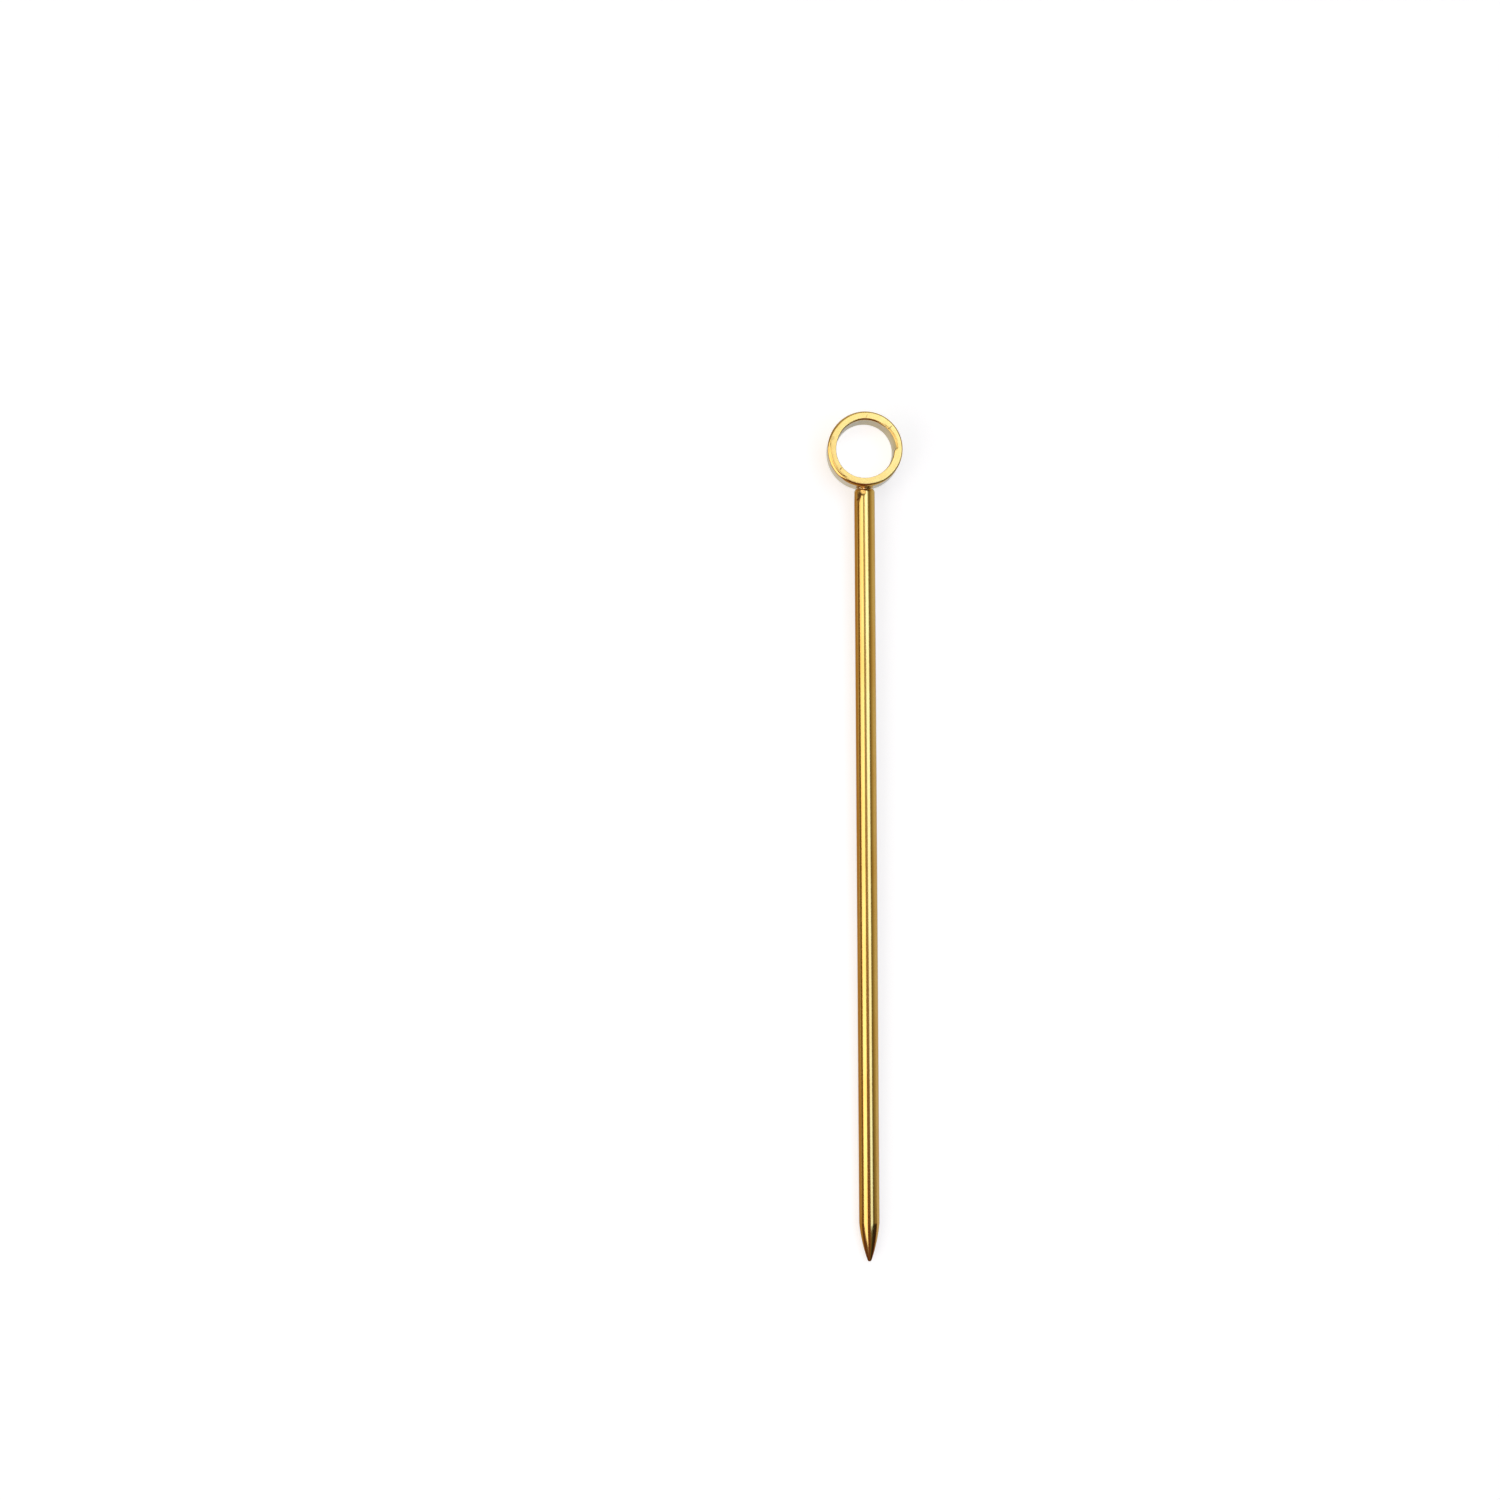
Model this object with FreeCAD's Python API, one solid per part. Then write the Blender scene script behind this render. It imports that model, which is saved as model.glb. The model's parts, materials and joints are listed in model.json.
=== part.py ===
import FreeCAD, Part
import math
import os

from FreeCAD import Vector

# Cocktail pick, lying as it comes to rest on a flat table. A round pin with a
# ground point is welded by its turned-down neck to the outside of a short ring
# cut from tube. Lengths are in millimetres. The point is at the -Y end, the
# ring is at the +Y end, and the ring's hole faces up.

# Driving dimensions
overall_length = 116.0          # tip to far side of the ring, along the pin
pin_diameter = 2.8              # stock that the pin is turned from
point_length = 5.35             # from the tip back to the shoulder
point_shoulder_angle = 5.1      # degrees that the side turns at the shoulder
point_shoulder_radius = 4.0     # polished run from the shank into the point
point_nose_radius = 0.29        # the tip is blunted to this radius
ring_diameter = 10.15           # outside of the tube
ring_wall = 1.16                # thickness of the tube's wall
ring_depth = 5.8                # length of tube cut off for the ring
ring_outer_round = 0.25         # tumbled outer edges of the ring
ring_inner_round = 0.10         # broken edges of the ring's hole
neck_diameter = 2.2             # turned-down end that is welded on
neck_chamfer_length = 0.30      # slope from the shank down to the neck
neck_bare_length = 0.05         # straight neck left between slope and weld
weld_radius = 0.24              # hollow of the weld bead around the neck
weld_bite = 0.03                # the bead's edge sinks this far into the wall

# Sizes that follow from them. The parts are made square first, with the ring's
# centre at the origin, the ring's axis along Z and the pin's axis along Y.
pin_radius = pin_diameter / 2
neck_radius = neck_diameter / 2
ring_radius = ring_diameter / 2
hole_radius = ring_radius - ring_wall
tip_y = ring_radius - overall_length
shoulder_y = tip_y + point_length
nose_centre_y = tip_y + point_nose_radius
weld_disc_radius = ring_radius - weld_bite
neck_start_y = -weld_disc_radius - weld_radius - neck_bare_length
shank_end_y = neck_start_y - neck_chamfer_length
neck_root_y = -ring_radius + ring_wall / 2

pin_axis = Vector(0, 1, 0)
ring_axis = Vector(0, 0, 1)
centre = Vector(0, 0, 0)


# Pin: ground point, shank, chamfer and neck, turned as one profile about Y.
# In the profile X is the radius. The point's flank is the arc that leaves the
# shoulder's corner at the shoulder angle and is tangent to the round nose.
corner = Vector(pin_radius, shoulder_y, 0)
nose_centre = Vector(0, nose_centre_y, 0)
nose_to_corner = corner - nose_centre
turn = math.radians(point_shoulder_angle)
inward = Vector(-math.cos(turn), math.sin(turn), 0)
corner_reach = point_nose_radius + inward.dot(nose_to_corner)
corner_gap = point_nose_radius**2 - nose_to_corner.dot(nose_to_corner)
flank_radius = corner_gap / (2 * corner_reach)
flank_centre = corner + inward * flank_radius

# The shoulder arc is tangent to the shank's side and to the flank.
shoulder_reach = flank_radius - point_shoulder_radius
shoulder_centre_x = pin_radius - point_shoulder_radius
shoulder_drop = shoulder_centre_x - flank_centre.x
shoulder_centre_y = flank_centre.y - math.sqrt(shoulder_reach**2 - shoulder_drop**2)
shoulder_centre = Vector(shoulder_centre_x, shoulder_centre_y, 0)


def towards(start, target, distance):
    """The point at this distance from start on the line through target."""
    step = target - start
    return start + step * (distance / step.Length)


def arc(middle, radius, start, end):
    """The short arc about middle from start to end."""
    halfway = towards(middle, (start + end) / 2, radius)
    return Part.Arc(start, halfway, end).toShape()


tip = Vector(0, tip_y, 0)
nose_end = towards(flank_centre, nose_centre, flank_radius)
flank_end = towards(flank_centre, shoulder_centre, flank_radius)
shank_start = Vector(pin_radius, shoulder_centre_y, 0)
shank_end = Vector(pin_radius, shank_end_y, 0)
neck_start = Vector(neck_radius, neck_start_y, 0)
neck_root = Vector(neck_radius, neck_root_y, 0)
root_centre = Vector(0, neck_root_y, 0)

pin_profile = [
    arc(nose_centre, point_nose_radius, tip, nose_end),
    arc(flank_centre, flank_radius, nose_end, flank_end),
    arc(shoulder_centre, point_shoulder_radius, flank_end, shank_start),
    Part.makeLine(shank_start, shank_end),
    Part.makeLine(shank_end, neck_start),
    Part.makeLine(neck_start, neck_root),
    Part.makeLine(neck_root, root_centre),
    Part.makeLine(root_centre, tip),
]
pin_blank = Part.Face(Part.Wire(pin_profile)).revolve(centre, pin_axis, 360)


# Ring: a length of tube with its outer and inner edges rounded.
ring_base = Vector(0, 0, -ring_depth / 2)
tube_solid = Part.makeCylinder(ring_radius, ring_depth, ring_base, ring_axis)
tube_hole = Part.makeCylinder(hole_radius, ring_depth, ring_base, ring_axis)
tube_slice = tube_solid.cut(tube_hole)


def rims(shape, radius):
    """The circular edges of this radius."""
    circles = [edge for edge in shape.Edges if isinstance(edge.Curve, Part.Circle)]
    return [edge for edge in circles if abs(edge.Curve.Radius - radius) < 1e-6]


ring = tube_slice.makeFillet(ring_outer_round, rims(tube_slice, ring_radius))
ring = ring.makeFillet(ring_inner_round, rims(ring, hole_radius))


# Weld: the neck is filleted onto a disc a little smaller than the ring, and the
# ring's full outside is then cut away, so the bead's edge meets the ring's wall
# at an angle and the pin ends in a saddle that fits the wall.
weld_disc = Part.makeCylinder(weld_disc_radius, ring_depth, ring_base, ring_axis)
joined = pin_blank.fuse(weld_disc)


def follows_joint(edge):
    """Whether the edge lies both on the neck and on the weld disc."""
    start, end = edge.ParameterRange
    place = edge.valueAt((start + end) / 2)
    on_neck = abs(math.hypot(place.x, place.z) - neck_radius) < 1e-4
    on_disc = abs(math.hypot(place.x, place.y) - weld_disc_radius) < 1e-4
    return on_neck and on_disc


joint_edges = [edge for edge in joined.Edges if follows_joint(edge)]
shaft = joined.makeFillet(weld_radius, joint_edges).cut(tube_solid)


# Rest: the pick tips until the ring's lower outer edge and the shoulder of the
# point both touch the table. Each touches it on a circle seen from the side,
# and tilt is the angle at which the two circles' lowest points are level.
rim_y = -(ring_radius - ring_outer_round)
rim_z = -(ring_depth / 2 - ring_outer_round)
shoulder_z = point_shoulder_radius - pin_radius
level_z = shoulder_z - rim_z
level_y = shoulder_centre_y - rim_y
level_radius = point_shoulder_radius - ring_outer_round
level_length = math.hypot(level_z, level_y)
tilt = math.atan2(level_y, level_z) + math.acos(level_radius / level_length)

lowest_z = rim_z * math.cos(tilt) + rim_y * math.sin(tilt) - ring_outer_round
ring_side_y = -rim_y * math.cos(tilt) - rim_z * math.sin(tilt) + ring_outer_round
tip_side_y = nose_centre_y * math.cos(tilt) - point_nose_radius
to_table = Vector(0, -(ring_side_y + tip_side_y) / 2, -lowest_z)
lie_down = FreeCAD.Rotation(Vector(1, 0, 0), math.degrees(tilt))
at_rest = FreeCAD.Placement(to_table, lie_down)

os.makedirs("parts", exist_ok=True)
shaft.Placement = at_rest
shaft.exportStep("parts/shaft.step")
ring.Placement = at_rest
ring.exportStep("parts/ring.step")
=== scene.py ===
# A cocktail pick of gold-coated stainless steel: a round pin with a ground point,
# welded by its turned-down neck to a short ring of tube. It lies on a pale table,
# tipped a little, on the ring's lower edge and the shoulder of the point.

import json
import math

import bmesh
import bpy
from mathutils import Matrix, Vector


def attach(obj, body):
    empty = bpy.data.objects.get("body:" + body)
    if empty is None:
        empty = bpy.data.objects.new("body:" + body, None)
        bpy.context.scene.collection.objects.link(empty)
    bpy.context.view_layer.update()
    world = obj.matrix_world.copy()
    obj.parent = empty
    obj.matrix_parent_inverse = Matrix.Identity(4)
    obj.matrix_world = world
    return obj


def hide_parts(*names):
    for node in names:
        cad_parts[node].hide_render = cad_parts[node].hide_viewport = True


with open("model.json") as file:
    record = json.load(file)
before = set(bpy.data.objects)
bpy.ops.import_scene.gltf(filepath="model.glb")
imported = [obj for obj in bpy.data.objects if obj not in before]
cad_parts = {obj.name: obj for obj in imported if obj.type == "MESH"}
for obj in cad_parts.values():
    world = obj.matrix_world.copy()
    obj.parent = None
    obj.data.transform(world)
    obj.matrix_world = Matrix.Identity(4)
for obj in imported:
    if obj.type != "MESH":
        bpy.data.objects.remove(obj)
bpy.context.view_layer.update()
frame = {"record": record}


# Shaft: 2.8 mm stainless rod. One end is ground to a bulged point and polished,
# the other is turned down to a neck and welded to the outside of the ring. The
# bead round the neck is smoothed before the whole pick is coated gold.

# Sizes in millimetres, with the ring's centre at the origin and the pin along Y.
pin_radius = 1.4
tip_y = -110.925
point_length = 5.35
shoulder_turn = math.radians(5.1)
shoulder_radius = 4.0
nose_radius = 0.29
shank_end_y = -5.635
end_round = 0.5
neck_start_y = -5.23
neck_radius = 1.1
weld_radius = 0.24
weld_disc_radius = 5.045
ring_radius = 5.075
shaft_steps_round = 256
sharp_angle = math.radians(40)

mounts = {mount["name"]: mount for mount in frame["record"]["mounts"]}
ring_centre = Vector(mounts["ring_hole"]["pos_m"])
ring_axis = Vector(mounts["ring_hole"]["axis"]).normalized()
pin_axis = -Vector(mounts["shank"]["axis"]).normalized()
across = pin_axis.cross(ring_axis)
lie_down = Matrix((across, pin_axis, ring_axis)).transposed().to_4x4()
lie_down = Matrix.Translation(ring_centre) @ lie_down @ Matrix.Scale(0.001, 4)


def skin(name, rows, joined):
    """A closed mesh over rows of points that each go once round the piece."""
    mesh_maker = bmesh.new()
    made = [[mesh_maker.verts.new(lie_down @ Vector(point)) for point in row] for row in rows]
    pairs = list(zip(made, made[1:]))
    if joined:
        pairs.append((made[-1], made[0]))
    for near, far in pairs:
        count = max(len(near), len(far))
        for i in range(count):
            j = (i + 1) % count
            if len(near) == 1:
                mesh_maker.faces.new((near[0], far[i], far[j]))
            elif len(far) == 1:
                mesh_maker.faces.new((near[i], near[j], far[0]))
            else:
                mesh_maker.faces.new((near[i], near[j], far[j], far[i]))
    bmesh.ops.recalc_face_normals(mesh_maker, faces=mesh_maker.faces)
    mesh = bpy.data.meshes.new(name)
    mesh_maker.to_mesh(mesh)
    mesh_maker.free()
    mesh.shade_smooth()
    mesh.set_sharp_from_angle(angle=sharp_angle)
    piece = bpy.data.objects.new(name, mesh)
    bpy.context.scene.collection.objects.link(piece)
    return piece


def arc(middle, radius, start, end, steps):
    """Points of a profile on the short arc about middle from start to end."""
    first = math.atan2(start[1] - middle[1], start[0] - middle[0])
    last = math.atan2(end[1] - middle[1], end[0] - middle[0])
    turn = (last - first + math.pi) % math.tau - math.pi
    angles = [first + turn * i / steps for i in range(steps + 1)]
    return [
        (middle[0] + radius * math.cos(angle), middle[1] + radius * math.sin(angle))
        for angle in angles
    ]


def softened(before, corner, after, reach, steps):
    """Points that round a corner of a profile, starting this far before it."""
    before, corner, after = Vector(before), Vector(corner), Vector(after)
    start = corner + (before - corner).normalized() * reach
    end = corner + (after - corner).normalized() * reach
    shares = [i / steps for i in range(steps + 1)]
    return [
        tuple(start * (1 - t) ** 2 + corner * 2 * t * (1 - t) + end * t**2)
        for t in shares
    ]


# The point's flank bulges: it leaves the shoulder at a slight angle and runs as
# one long arc into the round nose. The shoulder is polished over.
shoulder = Vector((pin_radius, tip_y + point_length))
nose_centre = Vector((0, tip_y + nose_radius))
nose_to_shoulder = shoulder - nose_centre
inward = Vector((-math.cos(shoulder_turn), math.sin(shoulder_turn)))
flank_radius = nose_radius**2 - nose_to_shoulder.length_squared
flank_radius /= 2 * (nose_radius + inward.dot(nose_to_shoulder))
flank_centre = shoulder + inward * flank_radius
shoulder_centre = Vector((pin_radius - shoulder_radius, 0))
shoulder_drop = shoulder_centre.x - flank_centre.x
shoulder_reach = flank_radius - shoulder_radius
shoulder_centre.y = flank_centre.y - math.sqrt(shoulder_reach**2 - shoulder_drop**2)
nose_end = flank_centre + (nose_centre - flank_centre).normalized() * flank_radius
flank_end = flank_centre + (shoulder_centre - flank_centre).normalized() * flank_radius

nose = arc(nose_centre, nose_radius, (0, tip_y), nose_end, 10)
flank = arc(flank_centre, flank_radius, nose_end, flank_end, 44)
shank_start = (pin_radius, shoulder_centre.y)
rounded_shoulder = arc(shoulder_centre, shoulder_radius, flank_end, shank_start, 14)
profile = nose[1:] + flank[1:] + rounded_shoulder[1:]

shank_rows = 60
end_rows = 40
end_length = 1.8
shank_length = shank_end_y - end_length - shoulder_centre.y
profile += [
    (pin_radius, shoulder_centre.y + shank_length * (i + 1) / (shank_rows + 1))
    for i in range(shank_rows)
]
profile += [
    (pin_radius, shank_end_y - end_length * (1 - i / end_rows)) for i in range(end_rows)
]
end_turn = math.radians(50)
round_centre = (pin_radius - end_round, shank_end_y)
shank_end = (pin_radius, shank_end_y)
round_end = (
    round_centre[0] + end_round * math.cos(end_turn),
    shank_end_y + end_round * math.sin(end_turn),
)
neck_start = (neck_radius, neck_start_y)
neck_corner_reach = 0.03
weld_y = -math.sqrt((weld_disc_radius + weld_radius) ** 2 - (neck_radius + weld_radius) ** 2)
profile += arc(round_centre, end_round, shank_end, round_end, 12)
profile += softened(round_end, neck_start, (neck_radius, weld_y), neck_corner_reach, 4)

directions = [math.tau * i / shaft_steps_round for i in range(shaft_steps_round)]

# Two small scoops were ground into the end of the shank when the weld was
# smoothed: heading round the pin, depth, where each starts and is deepest, and
# the share of the depth that it loses again towards the shank's end.
weld_scoops = [(124, 0.045, -7.2, -5.5, 0.0), (102, 0.07, -6.25, -5.84, 0.3)]
scoop_end_y = shank_end_y + 0.25

# Spatter from the weld left a small level ledge past the upper scoop.
ledge_heading = 101
ledge_radius = 1.345
ledge_end_y = -5.42
ledge_reach = (14, 24)
ledge_step = 0.12
ledge_drop = 0.3

# The bead is lumpy: heading round the pin, reach to each side and height. On the
# neck the lumps are lower than on the bead.
weld_lumps = [(150, 28, 0.13), (104, 8, -0.04), (84, 10, 0.03), (20, 28, 0.12)]
lump_start_y = neck_start_y - 0.04
lump_on_neck = 0.6
lump_on_bead = 1.6


def soft_step(value, low, high):
    """0 below low, 1 above high, and a soft step in between."""
    share = min(max((value - low) / (high - low), 0), 1)
    return share * share * (3 - 2 * share)


def ground(radius, y, angle):
    """The shaft's radius here, cut back by the scoops at the end of the shank."""
    for heading, depth, start_y, deepest_y, lost in weld_scoops:
        turned = math.cos(angle - math.radians(heading))
        rising = 1 - lost * soft_step(y, deepest_y, scoop_end_y)
        flat = pin_radius - depth * soft_step(y, start_y, deepest_y) * rising
        if turned > 0.5 and y < neck_start_y:
            radius = min(radius, flat / turned)
    if shank_end_y < y < neck_start_y:
        away = abs(math.degrees(angle) - ledge_heading)
        fall = soft_step(away, *ledge_reach)
        fall += soft_step(y, ledge_end_y, ledge_end_y + ledge_step)
        radius = max(radius, ledge_radius - ledge_drop * fall)
    return radius


def lump(angle):
    """How far the weld stands proud at this place round the neck."""
    height = 0
    for heading, reach, size in weld_lumps:
        away = (math.degrees(angle) - heading + 180) % 360 - 180
        height += size * math.exp(-((away / reach) ** 2))
    return height


shaft_rows = [[(0, tip_y, 0)]]
for radius, y in profile:
    row = []
    for angle in directions:
        here = ground(radius, y, angle)
        if y > lump_start_y:
            here += lump(angle) * lump_on_neck
        row.append((here * math.cos(angle), y, here * math.sin(angle)))
    shaft_rows.append(row)


halvings = 40


def weld_bead(angle, steps):
    """The hollow bead on one side of the neck, down to the ring's wall."""
    ball = Vector((math.cos(angle), 0, math.sin(angle))) * (neck_radius + weld_radius)
    ball.y = -math.sqrt((weld_disc_radius + weld_radius) ** 2 - ball.x**2)
    to_neck = Vector((-math.cos(angle), 0, -math.sin(angle)))
    to_ring = Vector((-ball.x, -ball.y, 0)).normalized()
    low, high = 0.0, 1.0
    for _ in range(halvings):
        middle = (low + high) / 2
        foot = ball + to_neck.slerp(to_ring, middle) * weld_radius
        if math.hypot(foot.x, foot.y) > ring_radius:
            low = middle
        else:
            high = middle
    outward = to_neck * -lump(angle)
    bead = []
    for i in range(steps + 1):
        foot = ball + to_neck.slerp(to_ring, high * i / steps) * weld_radius
        share = i / steps
        swell = (lump_on_neck + lump_on_bead * share) * (1 - share * share)
        bead.append(foot + outward * swell)
    return bead


weld_steps = 12
beads = [weld_bead(angle, weld_steps) for angle in directions]
shaft_rows += [[bead[i] for bead in beads] for i in range(weld_steps + 1)]
for share in (0.75, 0.5, 0.25):
    feet = [bead[-1] * share for bead in beads]
    shaft_rows.append([(p.x, -math.sqrt(ring_radius**2 - p.x**2), p.z) for p in feet])
shaft_rows.append([(0, -ring_radius, 0)])

shaft = skin("shaft_gold", shaft_rows, joined=False)


class Wire:
    """The output of a shader node. Arithmetic on it adds Math nodes."""

    def __init__(self, socket):
        self.socket = socket

    @classmethod
    def node(cls, tree, kind, settings, sockets, output=0):
        """Adds a node, gives it its settings and sockets, and returns an output."""
        made = tree.nodes.new(kind)
        for name, value in settings.items():
            if name == "stops":
                ramp = made.color_ramp.elements
                while len(ramp) < len(value):
                    ramp.new(0.5)
                for element, (position, colour) in zip(ramp, value):
                    element.position = position
                    element.color = (*colour, 1)
            else:
                setattr(made, name, value)
        for name, value in sockets.items():
            if isinstance(value, Wire):
                tree.links.new(value.socket, made.inputs[name])
            else:
                made.inputs[name].default_value = value
        return cls(made.outputs[output]) if made.outputs else None

    def math(self, operation, first, second):
        tree = self.socket.id_data
        settings = {"operation": operation}
        return Wire.node(tree, "ShaderNodeMath", settings, {0: first, 1: second})

    def __add__(self, other):
        return self.math("ADD", self, other)

    def __sub__(self, other):
        return self.math("SUBTRACT", self, other)

    def __rsub__(self, other):
        return self.math("SUBTRACT", other, self)

    def __mul__(self, other):
        return self.math("MULTIPLY", self, other)

    __radd__ = __add__
    __rmul__ = __mul__

    def between(self, low, high):
        """0 below low, 1 above high, and a soft step in between."""
        settings = {"interpolation_type": "SMOOTHSTEP"}
        limits = {"Value": self, "From Min": low, "From Max": high}
        return Wire.node(self.socket.id_data, "ShaderNodeMapRange", settings, limits)

    def blend(self, first, second):
        """The colour this share of the way from the first to the second."""
        colours = {"Factor": self, 6: first, 7: second}
        tree = self.socket.id_data
        return Wire.node(tree, "ShaderNodeMix", {"data_type": "RGBA"}, colours, 2)


class Finish:
    """A material being made: places on the piece, patterns and the metal."""

    def __init__(self, name):
        self.material = bpy.data.materials.new(name)
        self.material.use_nodes = True
        self.tree = self.material.node_tree
        self.tree.nodes.clear()
        place = self.node("ShaderNodeTexCoord", {}, {}, "Object")
        place = self.vector("SUBTRACT", place, ring_centre)
        self.place = self.vector("SCALE", place, None, Scale=1000.0)
        self.x = self.vector("DOT_PRODUCT", self.place, across)
        self.y = self.vector("DOT_PRODUCT", self.place, pin_axis)
        self.z = self.vector("DOT_PRODUCT", self.place, ring_axis)

    def node(self, kind, settings, sockets, output=0):
        return Wire.node(self.tree, kind, settings, sockets, output)

    def vector(self, operation, first, second, **others):
        sockets = {0: first, **others}
        if second is not None:
            sockets[1] = second
        output = "Value" if operation in ("DOT_PRODUCT", "DISTANCE") else "Vector"
        return self.node("ShaderNodeVectorMath", {"operation": operation}, sockets, output)

    def cloud(self, size, detail=2.0, seed=0.0):
        """Noise around 0.5 whose features are this many millimetres in x, y, z."""
        x, y, z = self.x * (1 / size[0]), self.y * (1 / size[1]), self.z * (1 / size[2])
        place = self.node("ShaderNodeCombineXYZ", {}, {0: x + seed, 1: y, 2: z})
        sockets = {"Vector": place, "Scale": 1.0, "Detail": detail}
        return self.node("ShaderNodeTexNoise", {}, sockets, "Fac")

    def mark(self, start, end, width):
        """1 midway between two places in x and y, fading to 0 there and sideways."""
        middle_x, middle_y = (start[0] + end[0]) / 2, (start[1] + end[1]) / 2
        half_x, half_y = (end[0] - start[0]) / 2, (end[1] - start[1]) / 2
        half_length = math.hypot(half_x, half_y)
        from_x, from_y = self.x - middle_x, self.y - middle_y
        lengthwise = (from_x * half_x + from_y * half_y) * (1 / half_length**2)
        sideways = (from_x * half_y - from_y * half_x) * (2 / (half_length * width))
        return 1 - (lengthwise * lengthwise + sideways * sideways).between(0.15, 1)

    def coat(self, piece, colour, roughness, height, depth):
        """Ends the material as coated metal with this relief and puts it on."""
        relief = {"Strength": 1.0, "Distance": depth, "Height": height}
        normal = self.node("ShaderNodeBump", {}, relief, "Normal")
        metal = {
            "Base Color": colour,
            "Metallic": 1.0,
            "Roughness": roughness,
            "Normal": normal,
        }
        shader = self.node("ShaderNodeBsdfPrincipled", {}, metal)
        self.node("ShaderNodeOutputMaterial", {}, {"Surface": shader})
        piece.data.materials.clear()
        piece.data.materials.append(self.material)


pale_gold = (0.79, 0.535, 0.150, 1)
deep_gold = (0.77, 0.475, 0.118, 1)
red_brown_gold = (0.34, 0.12, 0.035, 1)
# Orange for a painted reflection on the shank's rounded end.
orange_reflection_gold = (0.80, 0.36, 0.07, 1)
# Dark brown for the painted dark reflection in the left scoop and for the darker smear.
dark_reflection_and_smear = (0.15, 0.07, 0.02, 1)
tarnish = (0.40, 0.22, 0.06, 1)
# Paler gold for the weld, a painted sheen.
pale_sheen_gold = (0.80, 0.66, 0.42, 1)

drawn = Finish("gold_on_drawn_rod")
draw_lines = drawn.cloud((0.08, 25, 0.08), detail=2.0)
slow_waves = drawn.cloud((0.9, 18, 0.9), seed=7.0)
drawn_tone = drawn.cloud((1.6, 9, 1.6), seed=3.0).between(0.35, 0.7).blend(pale_gold, deep_gold)

# The weld is painted paler, a painted sheen. The left scoop is painted dark, a
# painted dark reflection, red-brown at its end; a darker, duller smear crosses the
# upper scoop, and a painted orange reflection lies past that, on the shank's end.
on_upper_side = drawn.z.between(0, 0.3)
# Painted dark reflection over the left scoop, unevenly dark, with a red-brown patch at its end.
reflection_mottle = drawn.cloud((0.14, 0.14, 0.14), seed=11.0)
painted_dark_reflection = drawn.mark((-0.62, -5.40), (-0.80, -6.80), 0.66) * on_upper_side * (0.55 + reflection_mottle)
red_patch = drawn.mark((-1.12, -6.86), (-0.74, -6.42), 0.36) * on_upper_side
smear = drawn.mark((-0.66, -5.94), (0.06, -6.20), 0.30) * on_upper_side
# Painted orange reflection on the shank's rounded end.
painted_orange_reflection = drawn.mark((-0.14, -5.64), (0.28, -5.86), 0.24) * on_upper_side
# Painted sheen: the weld is painted paler gold.
weld_sheen = drawn.y.between(-5.44, -5.26)
drawn_tone = (weld_sheen * 0.85).blend(drawn_tone, pale_sheen_gold)
drawn_tone = red_patch.blend(drawn_tone, red_brown_gold)
drawn_tone = (painted_dark_reflection * 0.85 + smear * 0.45).blend(drawn_tone, dark_reflection_and_smear)
drawn_tone = (painted_orange_reflection * 0.4).blend(drawn_tone, orange_reflection_gold)
drawn_roughness = 0.12 + draw_lines * 0.08 + painted_dark_reflection * 0.15 + smear * 0.1
drawn_relief = draw_lines * 0.12 + slow_waves * 0.5
relief_depth = 0.000004
drawn.coat(shaft, drawn_tone, drawn_roughness, drawn_relief, relief_depth)

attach(shaft, "root")
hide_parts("shaft")


# Ring: a 5.8 mm slice of stainless tube just over 10 mm across. Its cut faces are
# sanded, its edges are tumbled round, and it is filed by hand on the outer edge at
# the left and in the hole at the right. It is the pick's grip.

hole_radius = 3.915
half_depth = 2.9
lower_middle = 4.42
outer_round = 0.25
inner_round = 0.10
outer_slope = math.tan(math.radians(28))
inner_slope = math.tan(math.radians(20))
ring_steps_round = 720


def along(degrees, stops):
    """A size at this angle, from a list of angles with their sizes."""
    for (low, first), (high, second) in zip(stops, stops[1:]):
        if low <= degrees <= high:
            return first + (second - first) * soft_step(degrees, low, high)


# The tumbling rounded both edges unevenly. These are angles counted from 3
# o'clock, with the size of the round there, and how crisp the outer one is left.
outer_rounds = [
    (0, 0.19), (60, 0.22), (95, 0.26), (145, 0.32), (165, 0.27),
    (225, 0.42), (243, 0.53), (280, 0.53), (307, 0.32), (340, 0.20), (360, 0.19),
]
inner_rounds = [
    (0, 0.15), (60, 0.24), (100, 0.26), (130, 0.22), (160, 0.08),
    (300, 0.05), (330, 0.12), (360, 0.15),
]
crispness = [(0, 0), (215, 0), (245, 0.7), (285, 0.7), (310, 0.2), (340, 0), (360, 0)]
file_widths = [(0, 0.13), (13, 0.20), (39, 0.15), (54, 0.13)]
round_share = math.tan(math.radians(22.5))
wall_z = 1.6

# The outer filing starts, is full, fades and ends at these angles. It is this
# wide, this far in from the wall and reaches down to this height.
outer_filing = (163, 186, 224, 240)
outer_file = (0.33, 0.04, 2.45)
outer_groove = (0.08, 0.05)

# The hole's filing starts here with a step, runs out after these angles, and is
# ever less far in from the wall of the hole.
inner_start = 1.3
inner_step = 5.8
inner_fading = (40, 54)
inner_cut_back = (0.31, 0.0046)
inner_foot_z = 1.75
inner_groove = (0.05, 0.04)


def tumbled_edge(radius, side, size, crisp=0.0):
    """A round edge of this size, from face to wall, or a bevel where it is crisp."""
    reach = size * round_share
    first_reach = reach * (0.999 - crisp)
    face = [(radius - side * (size + space), half_depth) for space in (0.15, 0.10, 0.06, 0.03)]
    corner = (radius - side * (size - reach), half_depth)
    brow = (radius, half_depth - size + reach)
    wall = (radius, wall_z)
    points = face + softened(face[-1], corner, brow, first_reach, 6)
    return points + softened(corner, brow, wall, reach * 0.999, 6) + [wall]


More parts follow.
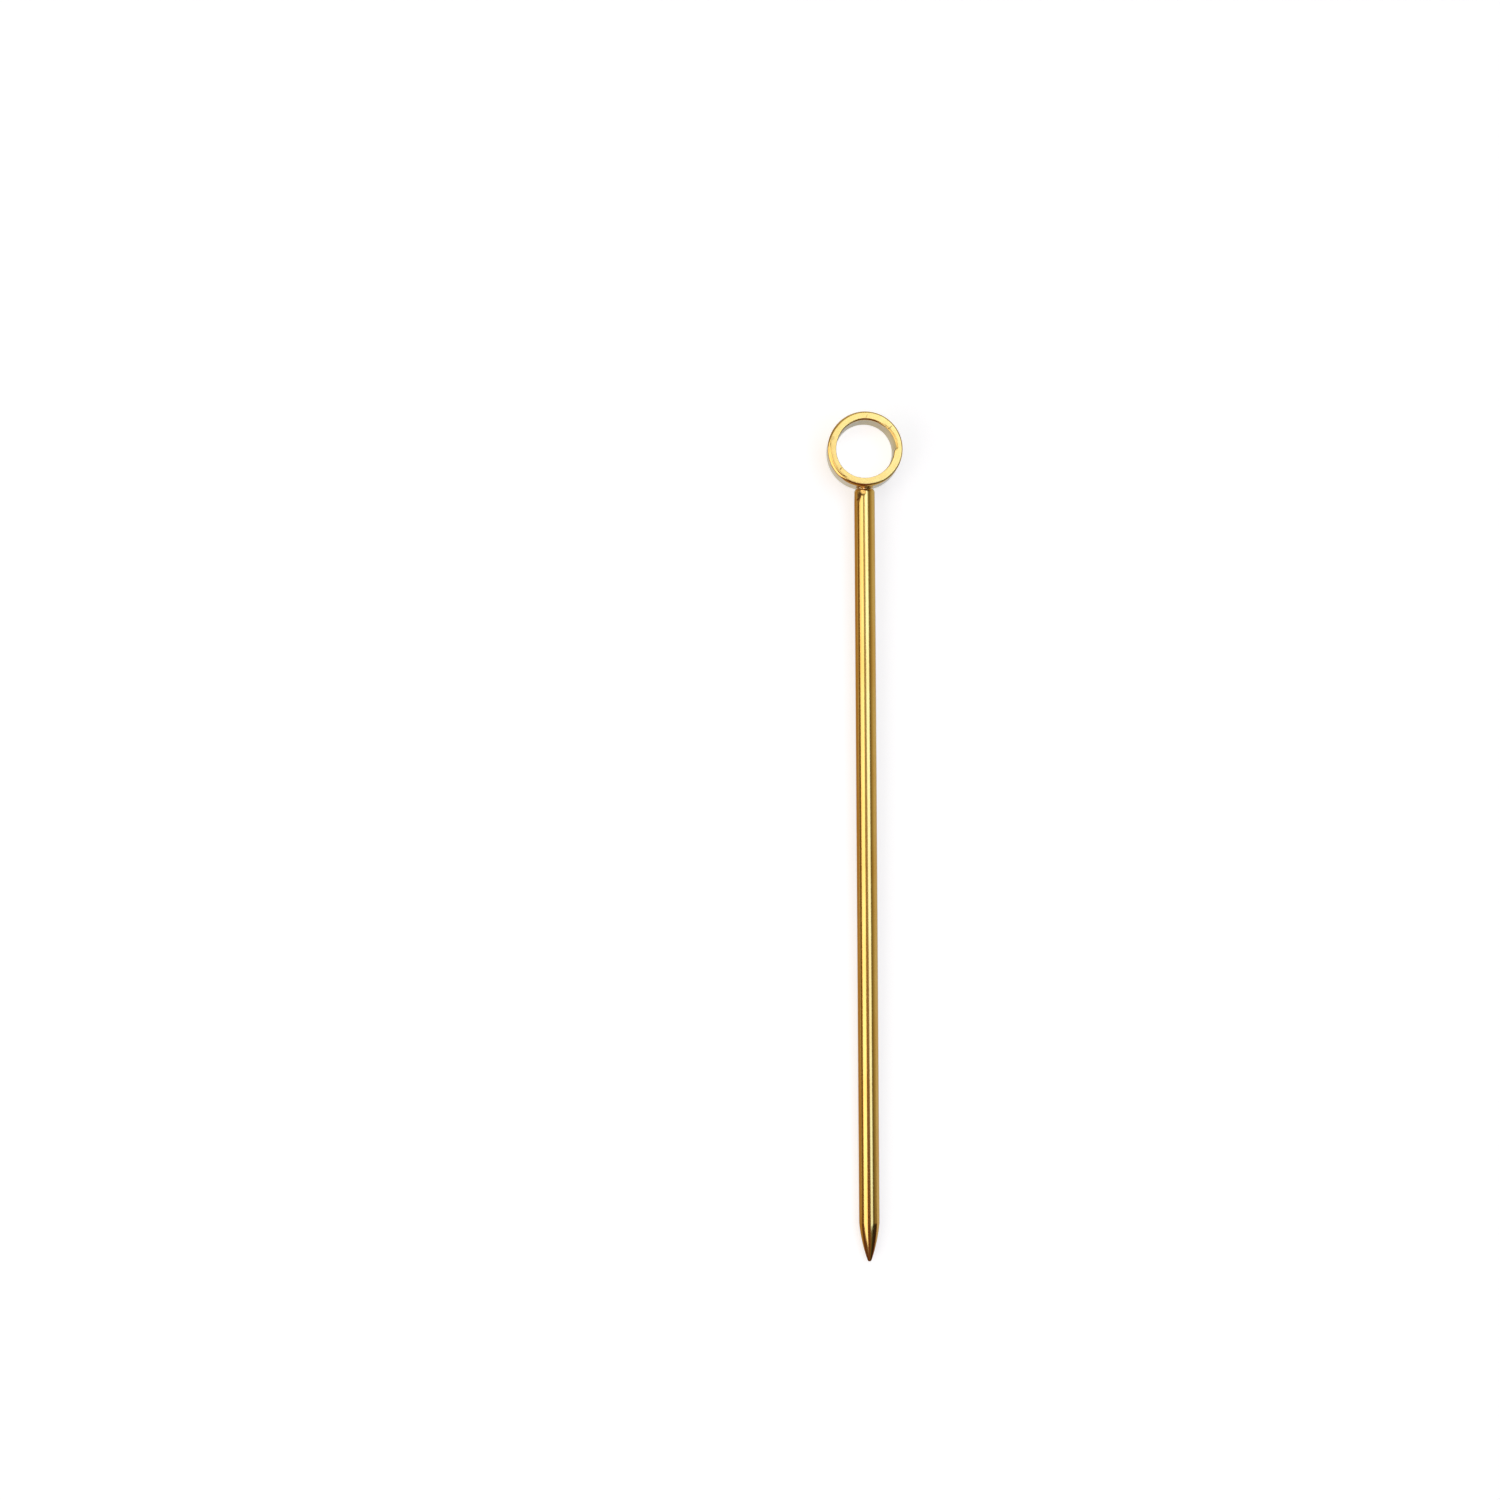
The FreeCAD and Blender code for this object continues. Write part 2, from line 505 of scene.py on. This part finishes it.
def filed_edge(radius, side, width, cut_back, foot_z, slope, groove):
    """An edge with a flat filed on it, a groove where the file's corner ran."""
    crease = radius - side * (width + cut_back)
    brow = radius - side * cut_back
    groove_half, groove_depth = groove
    points = [
        (crease - side * 2 * groove_half, half_depth),
        (crease - side * groove_half, half_depth - 0.004),
        (crease, half_depth - groove_depth),
        (crease + side * groove_half, half_depth - groove_half * slope),
    ]
    flat_width = width - groove_half - 0.06
    for i in range(7):
        out = groove_half + 0.005 + flat_width * i / 6
        points.append((crease + side * out, half_depth - out * slope))
    below = (radius, foot_z)
    points += softened(points[-1], (brow, half_depth - width * slope), below, 0.05, 6)
    return points + [below]


def outer_edge(degrees):
    """The outer edge at this angle. It is filed on the left, towards the pin."""
    start, full, fading, end = outer_filing
    filing = soft_step(degrees, start, full) * (1 - soft_step(degrees, fading, end))
    crisp = along(degrees, crispness)
    plain = tumbled_edge(ring_radius, 1, along(degrees, outer_rounds), crisp)
    width, cut_back, foot_z = outer_file
    filed = filed_edge(ring_radius, 1, width, cut_back, foot_z, outer_slope, outer_groove)
    return [tuple(Vector(a).lerp(b, filing)) for a, b in zip(plain, filed)]


def inner_edge(degrees):
    """The hole's edge at this angle. The file bit ever deeper and stopped short."""
    past = (degrees + 180) % 360 - 180 - inner_start
    filing = min(max(past / inner_step + 1, 0), 1) * (1 - soft_step(past, *inner_fading))
    plain = tumbled_edge(hole_radius, -1, along(degrees, inner_rounds))
    width = along(min(max(past, 0), inner_fading[1]), file_widths)
    cut_back = inner_cut_back[0] - inner_cut_back[1] * past
    filed = filed_edge(hole_radius, -1, width, cut_back, inner_foot_z, inner_slope, inner_groove)
    return [tuple(Vector(a).lerp(b, filing)) for a, b in zip(plain, filed)]


def ring_section(degrees):
    """The ring's whole section at this angle, from the top of the outer wall round."""
    lower_inner = tumbled_edge(hole_radius, -1, inner_round)
    lower_outer = tumbled_edge(ring_radius, 1, outer_round)
    upper_outer, upper_inner = outer_edge(degrees), inner_edge(degrees)
    upper_middle = (upper_outer[0][0] + upper_inner[0][0]) / 2
    section = upper_outer[::-1] + [(upper_middle, half_depth)] + upper_inner
    section += [(radius, -z) for radius, z in lower_inner[::-1]] + [(lower_middle, -half_depth)]
    return section + [(radius, -z) for radius, z in lower_outer]


ring_angles = [360 * i / ring_steps_round for i in range(ring_steps_round)]
sections = []
for degrees in ring_angles:
    angle = math.radians(degrees)
    sections.append(
        [
            (radius * math.cos(angle), radius * math.sin(angle), z)
            for radius, z in ring_section(degrees)
        ]
    )
ring = skin("ring_gold", sections, joined=True)

tube = Finish("gold_on_tube")
on_face = tube.node("ShaderNodeMath", {"operation": "ABSOLUTE"}, {0: tube.z})
on_face = on_face.between(half_depth - 0.02, half_depth - 0.002)
turned_lines = tube.cloud((6, 6, 0.06), detail=3.0)
patches = tube.cloud((1.3, 1.3, 3), seed=5.0)
face_grain = tube.cloud((0.12, 0.12, 0.5), detail=4.0, seed=9.0)
tube_tone = (patches.between(0.35, 0.7) * 0.6).blend(pale_gold, deep_gold)
tube_roughness = 0.13 + turned_lines * 0.08 + on_face * (0.02 + face_grain * 0.08)
tube_relief = turned_lines * 0.25 + on_face * (patches * 0.8 + face_grain * 0.5)

# Wear on the upper face: a hairline at the top, a nick beside the filed hole, a
# small dent at the lower left and a dull spot at the left.
hairline = tube.mark((0.42, 4.74), (-0.04, 3.95), 0.10) * 0.45
nick = tube.mark((3.66, 3.14), (3.10, 2.54), 0.17) * 0.8
dent = tube.mark((-3.52, -2.84), (-3.18, -2.50), 0.22) * 0.7
dull_spot = tube.mark((-4.62, 1.05), (-4.22, 1.85), 0.55) * 0.3
on_top = tube.z.between(half_depth - 0.3, half_depth - 0.2)
cuts = (hairline + nick + dent) * on_top
wear = cuts + dull_spot * on_top
tube_tone = wear.blend(tube_tone, tarnish)
tube_roughness = tube_roughness + wear * 0.15
tube_relief = tube_relief - cuts * 3
tube.coat(ring, tube_tone, tube_roughness, tube_relief, relief_depth)

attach(ring, "root")
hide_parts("ring")


# Table: a plain pale sheet. It is lifted to white where it is looked at, with a
# painted pool of light inside the ring. The metal mirrors it less lifted and with
# painted light and shade: painted warm throughout, darker at the left as painted
# shade, dark near the point as painted shade, and a painted brighter, nearly
# neutral light close to the ring. It keeps the pick's soft shadow.

table_half_width = 3.0
corners = [(-1, -1), (1, -1), (1, 1), (-1, 1)]
table_mesh = bpy.data.meshes.new("table")
table_mesh.from_pydata(
    [(x * table_half_width, y * table_half_width, 0) for x, y in corners],
    [],
    [(0, 1, 2, 3)],
)
table = bpy.data.objects.new("table", table_mesh)
bpy.context.scene.collection.objects.link(table)

sheet = bpy.data.materials.new("pale_sheet")
sheet.use_nodes = True
tree = sheet.node_tree
tree.nodes.clear()
looked_at = Wire.node(tree, "ShaderNodeLightPath", {}, {}, "Is Camera Ray")
mirrored = Wire.node(tree, "ShaderNodeLightPath", {}, {}, "Is Glossy Ray")
seen_through = Wire.node(tree, "ShaderNodeLightPath", {}, {}, "Is Transmission Ray")
place = Wire.node(tree, "ShaderNodeNewGeometry", {}, {}, "Position")
x = Wire.node(tree, "ShaderNodeSeparateXYZ", {}, {0: place}, 0)
y = Wire.node(tree, "ShaderNodeSeparateXYZ", {}, {0: place}, 1)
away_squared = x * x + (y - ring_centre.y) * (y - ring_centre.y)
beyond_ring = away_squared.between(0.006**2, 0.0075**2)
in_ring = 1 - away_squared.between(0.0038**2, 0.0046**2)
# The sheet as the metal mirrors it: painted darker and warmer at the left as painted shade,
# painted dark shade near the point, and painted brighter light near the ring.
painted_mirror_tint = x.between(-0.003, 0.003).blend((0.78, 0.50, 0.20, 1), (1.08, 0.98, 0.76, 1))
painted_mirror_tint = (x * x).between(0.010**2, 0.030**2).blend(painted_mirror_tint, (1, 0.92, 0.76, 1))
painted_mirror_tint = y.between(-0.0590, -0.0560).blend((0.22, 0.06, 0.03, 1), painted_mirror_tint)
painted_mirror_tint = beyond_ring.blend((1.18, 1.33, 1.38, 1), painted_mirror_tint)
sheet_colour = mirrored.blend((1.06, 1.0, 0.84, 1), painted_mirror_tint)
paper_brightness = 0.5
scaling = {0: sheet_colour, "Scale": paper_brightness}
dimmed = Wire.node(tree, "ShaderNodeVectorMath", {"operation": "SCALE"}, scaling)
paper = Wire.node(tree, "ShaderNodeBsdfDiffuse", {}, {"Color": dimmed})
looked_lift = 0.67
painted_ring_light = 0.14
mirrored_lift = 0.25
# Inside the ring the looked-at sheet is lifted further: a painted pool of light that lightens
# the ring's shadow there.
lift = (looked_at + seen_through) * (looked_lift + in_ring * painted_ring_light)
lift = lift + mirrored * mirrored_lift
glow = mirrored.blend((1, 1, 1, 1), painted_mirror_tint)
shine = Wire.node(tree, "ShaderNodeEmission", {}, {"Color": glow, "Strength": lift})
both = Wire.node(tree, "ShaderNodeAddShader", {}, {0: paper, 1: shine})
Wire.node(tree, "ShaderNodeOutputMaterial", {}, {"Surface": both})
table.data.materials.append(sheet)


# Light: two wide soft boxes hang over the table with a gap between them for the
# camera. The gap narrows towards the ring and closes just behind it.

box_height = 0.75


def soft_box(name, left, right, front, back, brightness, cloth):
    """A soft box facing down, lit and tinted as cloth says for each place on it."""
    lamp = bpy.data.lights.new(name, "AREA")
    lamp.shape = "RECTANGLE"
    lamp.size = right - left
    lamp.size_y = back - front
    lamp.energy = brightness * math.pi * lamp.size * lamp.size_y
    lamp.use_nodes = True
    tree = lamp.node_tree
    tree.nodes.clear()
    place = Wire.node(tree, "ShaderNodeNewGeometry", {}, {}, "Position")
    x = Wire.node(tree, "ShaderNodeSeparateXYZ", {}, {0: place}, 0)
    y = Wire.node(tree, "ShaderNodeSeparateXYZ", {}, {0: place}, 1)
    lit, tint = cloth(x, y)
    glow = Wire.node(tree, "ShaderNodeEmission", {}, {"Color": tint, "Strength": lit})
    Wire.node(tree, "ShaderNodeOutputLight", {}, {"Surface": glow})
    box = bpy.data.objects.new(name, lamp)
    box.location = ((left + right) / 2, (front + back) / 2, box_height)
    box.visible_camera = False
    bpy.context.scene.collection.objects.link(box)


def left_cloth(x, y):
    """Lit as far as the gap, and fading out in front of the point."""
    lit = (1 - (x - y * 0.108).between(-0.301, -0.261)) * y.between(-0.88, -0.64)
    lit = lit * (1 - (y - x * 0.05).between(0.20, 0.34))
    return lit * (1.16 - y.between(-0.30, 0.113) * 0.26), (1, 1, 1.12, 1)


def right_cloth(x, y):
    """Lit beside the gap and behind it, cooler towards the right."""
    slant = y.math("MAXIMUM", y, -0.222) * 0.627
    beside = (x + slant).between(0.059, 0.094)
    behind = y.between(0.086, 0.104)
    far_corner = (x + y.between(-0.021, 0.135) * 0.17).between(0.571, 0.621)
    lit = (1 - (1 - beside) * (1 - behind)) * (1 - far_corner)
    tint = x.between(-0.026, 0.114).blend((1, 0.97, 0.95, 1), (0.72, 1.08, 1.90, 1))
    corner = behind * x.between(0.02, 0.06) * (1 - y.between(0.10, 0.16) * 0.6)
    return lit, corner.blend(tint, (0.85, 1.28, 2.6, 1))


soft_box("left_box", -1.48, -0.05, -0.95, 0.45, 1.54, left_cloth)
soft_box("right_box", -0.27, 0.66, -0.44, 0.45, 1.48, right_cloth)

# The rest of the room is dim: a dark wall in front of the point, a pale one
# behind the ring, and a little light from the sides. The camera sees it white.
room = bpy.data.worlds.new("room")
bpy.context.scene.world = room
room.use_nodes = True
tree = room.node_tree
tree.nodes.clear()
heading = Wire.node(tree, "ShaderNodeTexCoord", {}, {}, "Generated")
heading_x = Wire.node(tree, "ShaderNodeSeparateXYZ", {}, {0: heading}, 0)
heading_y = Wire.node(tree, "ShaderNodeSeparateXYZ", {}, {0: heading}, 1)


def leaning(degrees):
    """The part of a direction along an axis when it leans so far from straight up."""
    return math.sin(math.radians(degrees))


def room_ramp(heading, stops):
    """The room's colour by how far a direction leans along one axis."""
    stops = [((leaning(lean) + 1) / 2, colour) for lean, colour in stops]
    return Wire.node(tree, "ShaderNodeValToRGB", {"stops": stops}, {0: heading * 0.5 + 0.5})


overhead = room_ramp(
    heading_y,
    [
        (-13.6, (0.14, 0.05, 0.02)),
        (-10.2, (0.22, 0.11, 0.05)),
        (-6.7, (0.38, 0.26, 0.17)),
        (-2.1, (0.38, 0.32, 0.26)),
        (1.4, (0.42, 0.38, 0.36)),
        (3.9, (0.50, 0.52, 0.58)),
        (6.2, (0.45, 0.42, 0.38)),
        (31, (0.45, 0.44, 0.38)),
        (50, (0.50, 0.53, 0.52)),
        (88, (0.62, 0.66, 0.68)),
    ],
)
sides = room_ramp(
    heading_x,
    [
        (-88, (0.22, 0.12, 0.03)),
        (-75, (0.22, 0.13, 0.05)),
        (-64, (0.24, 0.18, 0.09)),
        (42, (0.16, 0.12, 0.05)),
        (58, (0.27, 0.22, 0.12)),
        (70, (0.42, 0.36, 0.22)),
        (88, (0.60, 0.54, 0.42)),
    ],
)
dark_wall = room_ramp(
    heading_x,
    [
        (-60, (0.14, 0.06, 0.03)),
        (-8, (0.16, 0.05, 0.025)),
        (8, (0.20, 0.06, 0.03)),
        (14, (0.17, 0.13, 0.06)),
        (28, (0.13, 0.11, 0.05)),
        (37, (0.03, 0.025, 0.02)),
        (78, (0.03, 0.02, 0.015)),
        (86, (0.25, 0.18, 0.09)),
    ],
)
sideways = Wire.node(tree, "ShaderNodeMath", {"operation": "ABSOLUTE"}, {0: heading_x})
room_colour = sideways.between(leaning(34), leaning(46)).blend(overhead, sides)
in_front = 1 - heading_y.between(leaning(-18.5), leaning(-8))
room_colour = in_front.blend(room_colour, dark_wall)
looked_at = Wire.node(tree, "ShaderNodeLightPath", {}, {}, "Is Camera Ray")
room_colour = looked_at.blend(room_colour, (1, 1, 1, 1))
background = Wire.node(tree, "ShaderNodeBackground", {}, {"Color": room_colour})
Wire.node(tree, "ShaderNodeOutputWorld", {}, {"Surface": background})


# Camera: straight above the table and a little to the left of the pick, as the
# photograph was taken.

camera_data = bpy.data.cameras.new("camera")
camera_data.sensor_width = 36.0
camera_data.lens = 59.28
camera_data.clip_start = 0.01
camera = bpy.data.objects.new("camera", camera_data)
camera.location = (-0.01588, 0.01223, 0.340)
camera.rotation_euler = (0, 0, math.radians(-0.425))
bpy.context.scene.collection.objects.link(camera)
bpy.context.scene.camera = camera
bpy.context.scene.view_settings.view_transform = "Standard"
